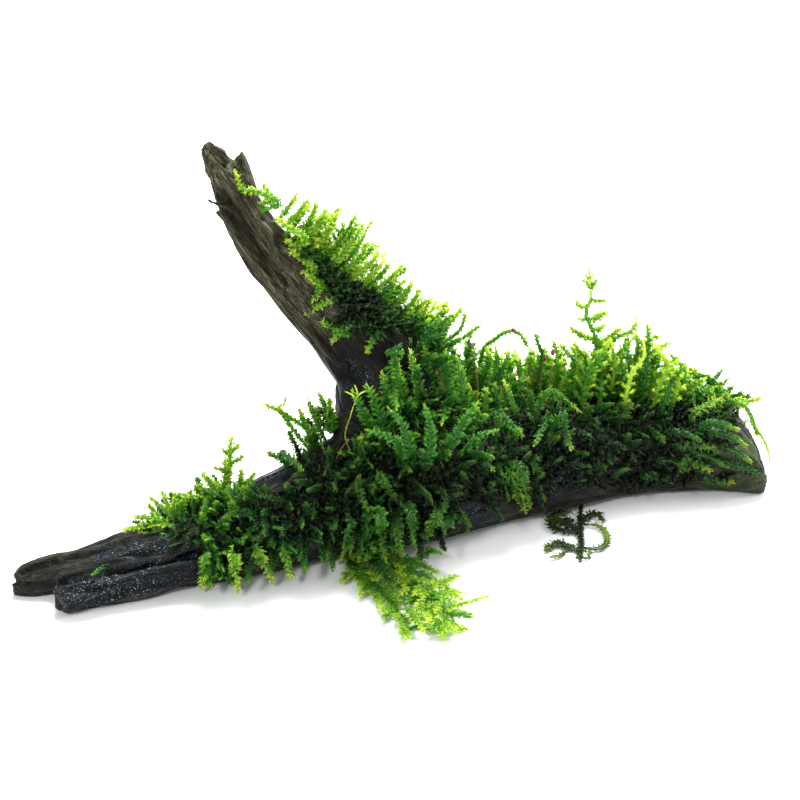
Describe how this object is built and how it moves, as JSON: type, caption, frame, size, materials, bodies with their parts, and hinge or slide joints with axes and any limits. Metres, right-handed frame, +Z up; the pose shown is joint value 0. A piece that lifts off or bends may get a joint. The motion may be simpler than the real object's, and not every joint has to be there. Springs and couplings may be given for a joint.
{
  "type": "java moss on driftwood",
  "caption": "Dark forked driftwood with a low split limb and a raised limb, covered in tufts of feathery green java moss; aquarium decoration that rests on a flat underside.",
  "frame": {"origin": "on the flat underside of the trunk, below the foot of the raised limb", "axes": "+X to the thick end of the wood along its greatest length, +Y to the back, +Z up"},
  "size_m": [0.2104, 0.1112, 0.11],
  "materials": {
    "driftwood": "weathered grain, damp and partly glossy",
    "moss": "fresh, slightly translucent leaves",
    "dark_moss": "dark, slightly translucent leaves"
  },
  "bodies": {
    "root": {"driftwood_trunk": "driftwood", "driftwood_left_limb": "driftwood", "driftwood_raised_limb": "driftwood", "moss_left_limb": "moss", "moss_centre_left": "moss", "moss_fork": "moss", "moss_crown": "moss", "moss_right": "moss", "moss_right_end": "moss", "moss_back": "moss", "moss_limb_lower": "moss", "moss_limb_upper": "moss", "moss_trailing_front": "moss", "moss_trailing_dark": "dark_moss"}
  },
  "joints": []
}
